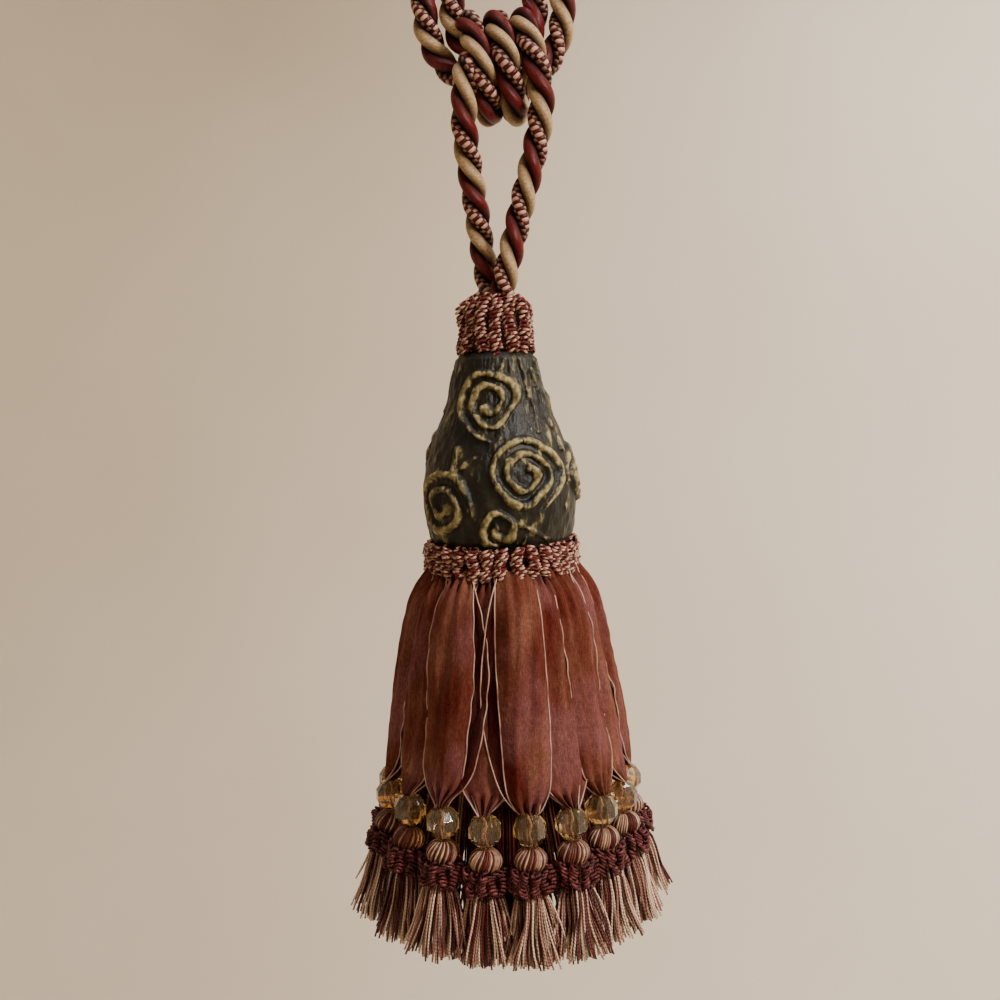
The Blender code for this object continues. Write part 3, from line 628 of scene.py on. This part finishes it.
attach(head, "root")
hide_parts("head")

# ------------------------------------------------------------
# Ribbons: lengths of sheer rust organza with a pale cord woven into each edge.  They are
# gathered under the band, lie open over the belly of the skirt and are drawn into the
# mouths of their beads.  Each is folded double, so its two layers' edges lie side by side.
# ------------------------------------------------------------
BEAD_Z, BEAD_R = -363.0, 6.3
RIBBON, BOW, GAP = 20.0, 1.8, 0.3
# a drop: its angle, its bead's distance from the axis and height above BEAD_Z; how far its
# ribbon hangs behind the others, its width, the width of its top and its belly; how many
# degrees its small tassel leans outward; and how fast the ribbon narrows to the bead
DROP_KEYS = ("round", "out", "up", "behind", "wide", "top", "belly", "lean", "taper")
DROPS = [
    (-76, 49.5, 0.6, 0.0, 0.92, 0.60, 0.4, 9, 1.0), (-53, 49.0, 0.8, 2.4, 0.86, 0.44, 0.6, 8, 1.0),
    (-31, 49.5, 0.5, 0.0, 1.00, 0.58, 1.2, 6, 1.5), (-11, 48.5, -1.2, 3.4, 0.90, 0.40, -0.6, 4, 1.0),
    (9, 49.5, -0.8, 0.0, 0.94, 0.78, 1.2, 6, 0.5), (29, 49.5, -0.8, 2.4, 0.90, 0.46, 0.4, 9, 1.0),
    (48, 49.0, 0.0, 0.0, 0.92, 0.62, 1.0, 7, 0.8), (69, 49.5, -0.5, 2.0, 0.86, 0.44, 0.4, 10, 1.0),
    (90, 50.0, 0.4, 0.0, 0.96, 0.60, 1.0, 9, 0.8), (111, 49.5, -0.6, 2.6, 0.88, 0.44, 0.2, 7, 1.0),
    (132, 49.0, 0.5, 0.0, 0.98, 0.64, 1.2, 8, 1.0), (153, 49.5, -0.9, 2.8, 0.88, 0.44, 0.0, 6, 1.0),
    (174, 49.0, 0.0, 0.0, 0.96, 0.62, 1.2, 8, 1.0), (-165, 49.5, 0.7, 2.6, 0.88, 0.44, 0.4, 7, 1.0),
    (-143, 49.0, -0.3, 0.0, 0.98, 0.62, 1.0, 9, 1.0), (-121, 49.5, 0.6, 2.6, 0.88, 0.44, 0.2, 8, 1.0),
    (-99, 49.5, 0.0, 1.6, 0.86, 0.46, 0.6, 8, 1.0),
]
# down from the band to the bead: distance from the axis, width share, and how far belly shows
RIBBON_FALL = [
    (-0.04, 28.2, 0.00, 0.55), (0.00, 30.4, 0.00, 0.62), (0.06, 34.4, 0.42, 0.74), (0.13, 37.2, 0.78, 0.88),
    (0.24, 39.6, 0.93, 0.96), (0.38, 41.6, 0.98, 1.00), (0.62, 45.0, 1.00, 1.00), (0.80, 47.4, 0.97, 0.86),
    (0.90, 48.6, 0.80, 0.60), (0.96, 49.0, 0.44, 0.30), (1.00, 49.2, 0.16, 0.00),
]
drop = dict(zip(DROP_KEYS, np.array(DROPS).T))


def ribbon_sheets(rows, places, inset, shift, shares, salt):
    """All ribbons as sheets of points: down the fall by row, from edge to edge by place.

    The middle follows the fall's distance from the axis, the width follows its share, a bow
    lifts the middle out of the edges, and pleats (a cosine across) deepen where the ribbon
    is narrower than its cloth.  inset and shift hang a sheet inside and beside the first.
    """
    fall = smooth_route(np.array(RIBBON_FALL) * (100, 1, 40, 10), 0.5)
    # the cloth starts behind the band, above the place where it comes out
    down = np.linspace(-0.04, 1, rows)
    out, wide, show = (np.interp(down, fall[:, 0] / 100, np.maximum(fall[:, k], 0) / scale)[None, :, None]
                       for k, scale in ((1, 1), (2, 40), (3, 10)))
    down = down[None, :, None]
    slack = np.sin(math.pi * np.clip(down, 0, 1))
    across = np.linspace(-1, 1, places)[None, None, :]
    col = {key: value[:, None, None] for key, value in drop.items()}
    seed = np.arange(len(DROPS))[:, None, None] + salt
    full = col["wide"] * np.where(col["behind"] > 0, 1.26, 1.0)
    share = np.where(down < 0.5, wide, wide ** col["taper"]) * full + (1 - wide) * col["top"] * (down < 0.5)
    share = np.maximum(share * shares, 0.17)
    folds = 2.9 * np.clip(1.0 - share, 0, 1) * np.cos(math.pi * (3.5 * across + 0.4 * seed + 0.5 * down))
    # creases: a few long ones down the cloth, fine ones across it, and puckers at its edges
    crease = 0.70 * np.sin(4.6 * across + 2.1 * seed + 3.1 * down)
    crease += 0.32 * np.sin(9.5 * across - 1.7 * seed + 8.0 * down)
    crease += 0.17 * np.sin(17.0 * across + 3.1 * seed + 4.0 * np.sin(5.0 * down + seed))
    crease += (0.16 * np.sin(23.0 * down + 6.0 * across + 1.9 * seed)
               * np.sin(3.3 * across + 9.0 * down + seed))
    crease += (0.20 * np.sin(62.0 * down + 7.0 * across + 2.9 * seed)
               * np.sin(4.0 * across - 7.0 * down + 2 * seed) ** 2)
    crease += 0.34 * across ** 4 * np.sin(44.0 * down + 1.7 * seed)
    crease += 0.75 * np.abs(across) ** 3 * np.sin(10.0 * down + 2.7 * seed + 1.3 * across)
    bow = BOW * show * (1 - across ** 2) * (1 + 0.5 * np.sin(1.9 * seed)) * (salt == 0)
    middle = out + show * (col["belly"] - col["behind"]) + down ** 3 * (col["out"] - 49.0)
    tucked = (np.where(np.abs(col["round"]) < 60, 1.2, 2.0) * show * across ** 4
              * (col["behind"] == 0) * (salt == 0))
    reach = middle + bow - tucked + folds + crease * slack ** 0.7 - inset * slack ** 0.5
    half = 0.5 * RIBBON * share
    waver = 0.45 * np.sin(7.0 * down + 2.3 * seed + across) * slack
    shift = -shift * np.sign(np.sin(np.radians(col["round"])))
    sway = (shift + 0.8 * np.sin(1.3 * seed) * (salt > 0)) * slack ** 0.8 + waver
    top, bottom = BAND_BOTTOM - GAP + 1.0, BEAD_Z + col["up"] + BEAD_R - 0.2
    turn = col["round"] + np.degrees((across * half + sway) / np.maximum(reach, 1.0))
    return at_angle(reach, turn, top + (bottom - top) * down + 0 * across)


organza = finish("rust organza", Roughness=0.48, Alpha=0.93, Specular_IOR_Level=0.0, Sheen_Weight=0.22,
                 Sheen_Roughness=0.35, Sheen_Tint=(0.80, 0.36, 0.30, 1.0))
u, v = across_and_along(organza)
lot = mark_of(organza, "lot")


def cloth_noise(across, along, lots, detail):
    """Noise over a ribbon: so many patches across it, so many to a mm along it, its own to each."""
    return noise_over(u * across, v * along, lot * lots, detail)


silk, weft = cloth_noise(62.0, 0.50, 37.0, 6.0), cloth_noise(11.0, 2.2, 29.0, 4.0)
bands, blotch = cloth_noise(6.0, 0.04, 43.0, 3.0), cloth_noise(1.5, 0.035, 53.0, 1.0)
# the mauve shows more toward the foot of a ribbon
mauve = cloth_noise(1.2, 0.030, 71.0, 2.0) + (v * 0.0019 - 0.085)
rust = (blotch * 0.6 + bands * 0.4).ramp((0.34, (0.060, 0.0092, 0.0060)), (0.48, (0.094, 0.0275, 0.0170)),
                                         (0.62, (0.134, 0.0500, 0.0320)))
shot = mauve.ramp((0.48, (0, 0, 0)), (0.64, (0.85, 0.85, 0.85))).blend(rust, (0.132, 0.0470, 0.0450))
# painted shade: the back layer's colour is drawn most of the way to near black, for the shade it lies in
# behind the first
shot = (mark_of(organza, "layer") * 0.80).blend(shot, (0.016, 0.0004, 0.0004))
lit = (silk * 0.7 + weft * 0.3).ramp((0.38, (0.74, 0.72, 0.72)), (0.50, (1.0, 1.0, 1.0)),
                                     (0.62, (1.45, 1.48, 1.48)))
dress(shot.times(lit), silk + weft * 0.35, 0.5)

ROWS, PLACES = 66, 25
LONG = 92.0
fallen = np.linspace(0, LONG, ROWS)
layers = []
# the second layer hangs inside the first and to one side, so that its edge shows in the gap;
# it keeps nearer to the first by the wide gap at the front
inner_inset = np.where(np.abs(drop["round"]) < 32, 2.6, 4.2)[:, None, None]
for layer, (inset, shift, shares) in enumerate(((0.0, 0.0, 1.0), (inner_inset, 6.5, 0.92))):
    grids = ribbon_sheets(ROWS, PLACES, inset, shift, shares, 5 * layer)
    layers.append(grids)
    for number, grid in enumerate(grids, 1):
        name = "ribbon_%s_%02d" % (("face", "back")[layer], number)
        cloth = skin(name, grid[None], organza, around=False, ends=False, run=fallen,
                     marks={"lot": [((number * 7 + layer * 3) % 17) / 17], "layer": [float(layer)]})
        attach(cloth, "root")
        if layer == 0:
            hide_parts("ribbon_%02d" % number)

# the pale cord in each ribbon's edge
EDGE_R, EDGE_OUT = 0.26, 0.15
LEVEL = np.array([1.0, 1.0, 0.0])
edge_finish = finish("ribbon edge cord", Roughness=0.45, Sheen_Weight=0.08)
u, v = across_and_along(edge_finish)
pale = (v * 0.12).noise().ramp((0.32, (0.22, 0.095, 0.065)), (0.58, (0.46, 0.285, 0.215)))
dress(pale, (u * FULL + v * 7.0).sine(), 0.4, 0.0001)
edges = np.concatenate([grid[:, :, end] for grid in layers for end in (0, -1)])
facing = edges * LEVEL
# the cords stand out from the cloth by EDGE_OUT where they are 40 mm from the axis
selvedges = skin("ribbon_edge_cords", tubes(edges + EDGE_OUT * facing / 40.0, facing, EDGE_R, 5),
                 edge_finish, run=fallen)
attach(selvedges, "root")

# ------------------------------------------------------------
# Hanging cords: thin twisted cords inside the skirt, fused under the head; each carries a
# bead, a covered ball and its small tassel.
# ------------------------------------------------------------
CORD_FALL = [(0.0, 17.0), (0.10, 21.0), (0.35, 27.0), (0.70, 34.0), (0.90, 40.5), (1.0, 45.9)]
CORD_R, CORD_LONG = 0.75, 95.0
INNER_THREADS, THREAD_R, THREAD_LONG, THREAD_END = 620, 0.46, 127.0, -404.0
DISC_SIDE = [(24.0, -272.4), (24.2, -272.8), (24.2, -273.6), (23.8, -273.9)]
down = np.linspace(0, 1, 30)[None]
wave = 0.5 * np.sin(9 * down + 2.4 * np.arange(len(DROPS))[:, None])
cord_top, cord_end = BAND_BOTTOM - 1.0, (BEAD_Z + drop["up"] + BEAD_R - 0.1)[:, None]
path = at_angle(np.interp(down, *np.array(CORD_FALL).T) + wave, drop["round"][:, None] + wave,
                cord_top + (cord_end - cord_top) * down)
cords = skin("hanging_cord_set", tubes(path, path * LEVEL, CORD_R, 8), edge_finish,
             run=down * CORD_LONG)
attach(cords, "root")

# between the drops thinner dark threads hang free, uneven at their ends; their darkness is partly their own
# dye and partly painted shade for the shaded gaps inside the skirt
each = (INNER_THREADS, 1)
down = np.linspace(0, 1, 16)[None]
turn = np.linspace(0, 360, INNER_THREADS, endpoint=False)[:, None] + rng.uniform(-0.6, 0.6, each)
thread_end = THREAD_END + rng.uniform(-7.0, 7.0, each)
reach = rng.uniform(0.80, 0.94, each) * np.interp(down, *np.array(CORD_FALL).T)
reach = reach + 0.6 * np.sin(8 * down + 0.2 * turn)
path = at_angle(reach, turn + 1.2 * np.sin(5 * down + 0.1 * turn), cord_top + (thread_end - cord_top) * down)
thread_dye_and_shade = finish("dark hanging threads", Roughness=0.5, Specular_IOR_Level=0.15)
u, v = across_and_along(thread_dye_and_shade)
dyed = mark_of(thread_dye_and_shade, "tone").ramp((0.0, (0.030, 0.003, 0.003)), (0.78, (0.085, 0.012, 0.009)),
                                        (0.84, (0.24, 0.13, 0.075)), (1.0, (0.32, 0.19, 0.115)))
dress(dyed, (u * FULL + v * 6.0).sine(), 0.4, 0.0001)
threads_hung = skin("inner_threads", tubes(path, path * LEVEL, THREAD_R, 4), thread_dye_and_shade,
                    run=down * THREAD_LONG, marks={"tone": rng.random(INNER_THREADS)})
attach(threads_hung, "root")
disc = skin("cord_disc", turned(np.array(DISC_SIDE), 48)[None],
            backing("dark backing", (0.03, 0.006, 0.005), (0.07, 0.02, 0.015)))
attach(disc, "root")
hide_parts("hanging_cords")

# ------------------------------------------------------------
# Glass beads: smoky amber fire-polished glass, cut in five rows of facets, with the pale
# thread showing inside.
# ------------------------------------------------------------
FACETS = 10
CUTS = np.radians([80, 50, 18, -18, -50, -80])[:, None]
GLASS_R, GLASS_TALL = 1.075 * BEAD_R, 0.96
STRING_R = 0.42


def rolled(first, second, turn):
    """Two coordinates turned in their plane by an angle, from the first toward the second."""
    return first * np.cos(turn) - second * np.sin(turn), first * np.sin(turn) + second * np.cos(turn)


centres = at_angle(drop["out"], drop["round"], BEAD_Z + drop["up"])
turn = np.linspace(0, FULL, FACETS, endpoint=False)
number = np.arange(len(DROPS))[:, None, None]
# each bead has turned on its cord and tips a little
x, y = rolled(np.cos(CUTS) * np.cos(turn), np.cos(CUTS) * np.sin(turn), 2.4 * number)
y, z = rolled(y, GLASS_TALL * np.sin(CUTS), 0.16 * np.sin(3.1 * number))
cut_beads = GLASS_R * np.stack([x, y, z], -1) + centres[:, None, None]
lots = (np.arange(len(DROPS)) * 5 % 17) / 17

amber = finish("amber glass", Roughness=0.09, Transmission_Weight=0.97, IOR=1.28, Coat_Weight=0.8,
               Coat_Roughness=0.02, Coat_IOR=1.5)
u, v = across_and_along(amber)
# painted light: every cut facet gets its own random tint, lighter or darker, for the light that each facet
# lets through and catches
facet = (u * (FACETS - 0.001)).maths("FLOOR") + v.maths("FLOOR") * 13.0
flash = (facet + mark_of(amber, "lot") * 997.0).dice()
painted_facet_light = flash.ramp((0.0, (0.62, 0.38, 0.17)), (0.5, (0.90, 0.62, 0.32)), (1.0, (1.0, 0.88, 0.58)))
painted_rim_shade = Shade(amber, "LayerWeight", {"Blend": 0.45}, "Facing")
# painted shade: the glass is darker toward its rim, where it is seen at a slant
dress((painted_rim_shade ** 1.6).blend(painted_facet_light, (0.34, 0.195, 0.085)))
beads = skin("amber_beads", cut_beads, amber, facets=True, marks={"lot": lots})
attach(beads, "root")
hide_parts(*["glass_bead_%02d" % n for n in range(1, len(DROPS) + 1)])
rise = np.linspace(-0.86, 0.86, 9)[None] * BEAD_R
path = centres[:, None] + np.stack([0.5 * np.sin(rise), 0 * rise, rise], -1)
strings = skin("bead_threads", tubes(path, np.array([0.0, -1.0, 0.0]) + 0 * path, STRING_R, 8), edge_finish,
               run=rise)
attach(strings, "root")

# ------------------------------------------------------------
# Small tassels: a ball covered in threads laid side by side from top to foot, a ruff of
# upright gimp coils, and a cut fringe of twisted yarns that flares a little.
# ------------------------------------------------------------
BALL_R, BALL_HALF, THREADS = 6.2, 5.1, 38
RUFF_HALF, RUFF_COILS, RUFF_WRAPS, RUFF_TWIST = 4.7, 11, 7.0, 2.2
YARNS, YARN_R, YARN_PLACES, YARN_TWIST = 165, 0.37, 7, 1.3
# the plies of a ruff's cord and of a yarn twist once in RUFF_TWIST and YARN_TWIST mm
FRINGE, ROOT_R, SPREAD_OUT, SPREAD_SIDE = 27.6, 5.2, 11.0, 12.9
ball_top = -BEAD_R - GAP
waist = ball_top - 2 * BALL_HALF + 2.6
foot = waist - 2 * RUFF_HALF


def hang(points):
    """Lean sheets of points [tassel, ...] outward about the ball's top, turn and place them."""
    shape = (-1,) + (1,) * (points.ndim - 2)
    out, up, lean, turn = (drop[key].reshape(shape) for key in ("out", "up", "lean", "round"))
    x, y, z = np.moveaxis(points, -1, 0)
    y, z = rolled(y, z - ball_top, -np.radians(lean))
    x, y = rolled(x, y - out, np.radians(turn))
    return np.stack([x, y, z + ball_top + BEAD_Z + up], -1)


def ruff_ring(share):
    """The ruff's coils stand out a little more toward its foot."""
    return 6.8 + 0.8 * share


turn = np.linspace(0, FULL, 4 * THREADS, endpoint=False)[None]
rise = np.linspace(math.pi / 2 - 0.06, 0.3 - math.pi / 2, 14)[:, None]
ridge = 1 + 0.055 * np.abs(np.sin(turn * THREADS / 2)) ** 0.6
wound = turn + 0.30 * np.sin(rise)
dimple = 1.4 * np.clip(np.sin(rise) - 0.93, 0, 1) / 0.07
# the threads are drawn in below the ball and run down inside the ruff
neck = np.array([(0.80, ball_top - 2 * BALL_HALF + 0.4), (0.74, foot + 3.0), (0.60, foot - 2.0)])
ball = np.concatenate([at_angle(BALL_R * np.cos(rise) * ridge, 90 + np.degrees(wound),
                                ball_top - BALL_HALF + BALL_HALF * np.sin(rise) - dimple),
                       at_angle(BALL_R * neck[:, :1], 90 + np.degrees(turn), neck[:, 1:])])

thread_finish = finish("ball threads", Roughness=0.42, Specular_IOR_Level=0.3)
u, _ = across_and_along(thread_finish)
thread = (u * float(THREADS)).maths("FLOOR")
pick = (thread + mark_of(thread_finish, "lot") * 97.0).dice()
# dark and pale threads mostly take turns
own = pick * 0.64 + thread.maths("MODULO", 2.0) * 0.36
striped = own.ramp((0.0, (0.026, 0.0010, 0.0010)), (0.48, (0.085, 0.0040, 0.0034)),
                   (0.53, (0.32, 0.160, 0.100)), (1.0, (0.60, 0.415, 0.255)))
wear = speckle(thread_finish, 700.0).ramp((0.45, (0, 0, 0)), (0.75, (0.6, 0.6, 0.6)))
groove = abs((u * (math.pi * THREADS)).sine())
# painted shade: the colour goes to near black in the grooves between the threads
dress((groove ** 0.45).blend((0.012, 0.002, 0.002), wear.blend(striped, (0.06, 0.010, 0.007))),
      groove, 0.6, 0.0004)
balls = skin("covered_balls", hang(ball[None]), thread_finish, marks={"lot": lots})
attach(balls, "root")
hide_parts(*["small_tassel_%02d" % n for n in range(1, len(DROPS) + 1)])

ruff_finish = finish("ruff gimp", Roughness=0.45, Specular_IOR_Level=0.3)
u, v = across_and_along(ruff_finish)
patch = (v * 0.4 + mark_of(ruff_finish, "tone") * 91.0).noise(1.0)
groove = abs(((u + v * (1 / RUFF_TWIST)) * (3 * math.pi)).sine())
crimson = patch.ramp((0.35, (0.034, 0.0016, 0.0022)), (0.55, (0.092, 0.0070, 0.0080)),
                     (0.72, (0.195, 0.045, 0.043)))
# painted shade: the cord's colour goes to near black in the grooves between its plies
dress((groove ** 0.5).blend((0.008, 0.001, 0.001), crimson), groove, 0.6, 0.0003)
# upright coils of the cord side by side, drawn in at the middle like the collar's
placed, run = zip(*[coil_ring(RUFF_COILS, RUFF_WRAPS, waist - 0.2, foot + 0.2, ruff_ring, 1.45, 0.60, 2,
                              tilt=0.9, uneven=0.75, fine=9) for _ in DROPS])
placed = np.concatenate(hang(np.array(placed)))
ruffs = skin("gimp_ruffs", placed, ruff_finish, run=np.concatenate(run),
             marks={"tone": rng.random(len(placed))})
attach(ruffs, "root")

yarn_finish = finish("fringe yarn", Roughness=0.42, Specular_IOR_Level=0.35)
u, v = across_and_along(yarn_finish)
twist = (u * FULL + v * (FULL / YARN_TWIST)).sine()
dyed = mark_of(yarn_finish, "tone").ramp(
    (0.0, (0.030, 0.0012, 0.0012)), (0.36, (0.095, 0.006, 0.0055)), (0.42, (0.30, 0.120, 0.095)),
    (0.60, (0.42, 0.220, 0.170)), (0.66, (0.50, 0.320, 0.220)), (1.0, (0.80, 0.600, 0.440)))
# painted shade: the yarn's colour is darkened in the grooves of its twist
dress((twist * 0.22 + 0.78).blend((0.022, 0.003, 0.002), dyed), twist, 0.4, 0.0002)
each = (len(DROPS), YARNS, 1)
ring = np.sqrt(rng.random(each))
turn = rng.uniform(0, FULL, each)
share = np.linspace(0, 1, YARN_PLACES)
loose = rng.uniform(0.86, 1.14, (len(DROPS), 1, 1))
flare = ring * loose * (0.82 + 0.25 * rng.random(each))
spreading = share ** rng.uniform(0.55, 0.85, each)
long = FRINGE * rng.uniform(0.95, 1.03, each)
x = np.cos(turn) * (ROOT_R * ring * (1 - spreading) + SPREAD_SIDE * flare * spreading)
y = np.sin(turn) * (ROOT_R * ring * (1 - spreading) + SPREAD_OUT * flare * spreading)
x = x + rng.normal(0, 1.5, each) * share ** 2 + 0.6 * np.sin(5 * share + 3 * turn)
y = y + rng.normal(0, 1.2, each) * share ** 2 + 0.5 * np.cos(6 * share + 2 * turn)
z = foot + 1.2 - (long + 1.2) * share * (1 - 0.08 * flare * share)
path = np.concatenate(hang(np.stack([x, y, z], -1)))
fringe = skin("cut_fringe", tubes(path, np.array([0.3, 1.0, 0.1]) + 0 * path, YARN_R, 4), yarn_finish,
              run=FRINGE * share, marks={"tone": rng.random(len(path))})
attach(fringe, "root")

# ------------------------------------------------------------
# Light: a large soft key from the front right, a weaker fill from the left, a lamp above
# and a pale sky.  Three more lamps face away from the tassel and wash the wall alone.
# ------------------------------------------------------------
# a lamp: its place, the place it faces, its size in metres, its power in watts and its colour
LAMPS = {
    "key": ((0.92, -0.70, 0.50), (0.0, 0.0, -0.2), 0.28, 29.0, (1.0, 0.95, 0.88)),
    "fill": ((-0.95, -0.7, 0.0), (0.0, 0.0, -0.25), 0.9, 0.52, (1.0, 0.96, 0.90)),
    "top": ((0.1, -0.1, 0.9), (0.0, 0.0, -0.1), 0.4, 5.0, (1.0, 0.98, 0.95)),
    "wash_back": ((0.8, 0.4, 1.1), (3.0, 1.6, -0.7), 1.2, 84.0, (0.98, 0.96, 0.95)),
    "wash_left": ((-0.3, 0.1, 1.1), (-2.0, 0.8, 0.0), 1.2, 0.8, (1.0, 0.96, 0.90)),
    "wash_front": ((0.0, -0.3, 1.1), (0.0, -2.0, 0.0), 1.2, 8.0, (1.0, 0.97, 0.94)),
}
for name, (place, aim, size, power, tint) in LAMPS.items():
    light = bpy.data.lights.new(name, "AREA")
    light.size, light.energy, light.color = size, power, tint
    holder = bpy.data.objects.new(name, light)
    bpy.context.collection.objects.link(holder)
    holder.visible_camera = False
    away = Vector(place) - Vector(aim)
    holder.matrix_world = Matrix.Translation(place) @ away.to_track_quat("Z", "Y").to_matrix().to_4x4()
world = bpy.data.worlds.new("sky")
world.use_nodes = True
sky = world.node_tree.nodes["Background"]
sky.inputs["Color"].default_value = (0.86, 0.83, 0.78, 1.0)
sky.inputs["Strength"].default_value = 0.12
bpy.context.scene.world = world
